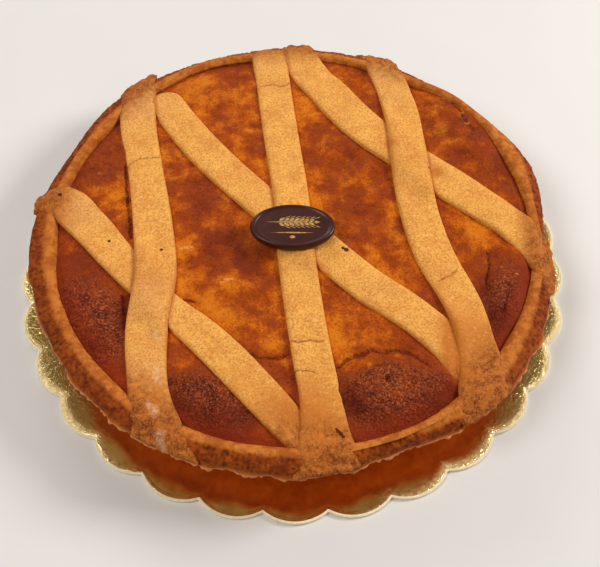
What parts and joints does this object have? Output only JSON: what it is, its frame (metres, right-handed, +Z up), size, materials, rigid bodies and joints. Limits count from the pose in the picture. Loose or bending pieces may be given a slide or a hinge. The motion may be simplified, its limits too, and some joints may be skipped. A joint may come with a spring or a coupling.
{
  "type": "pastiera",
  "caption": "Whole ricotta and wheat tart with a lattice of dough strips in a torn-edged shortcrust shell, on a scalloped gold cake card, with an oval chocolate plaque.",
  "frame": {"origin": "middle of the cake card's underside, the face that the part rests on", "axes": "+Z up; the side that faces the viewer in the picture is -Y, and +X is to the right of it"},
  "size_m": [0.279, 0.28, 0.0387],
  "materials": {
    "gold_card": "gloss",
    "crust": "matte",
    "filling": "satin",
    "strip_dough": "matte",
    "chocolate": "satin"
  },
  "bodies": {
    "root": {"cake_card": "gold_card", "shell": "crust", "filling": "filling", "strip_left": "strip_dough", "strip_middle": "strip_dough", "strip_right": "strip_dough", "diagonal_left": "strip_dough", "diagonal_middle": "strip_dough", "diagonal_right": "strip_dough", "plaque": "chocolate"}
  },
  "joints": []
}
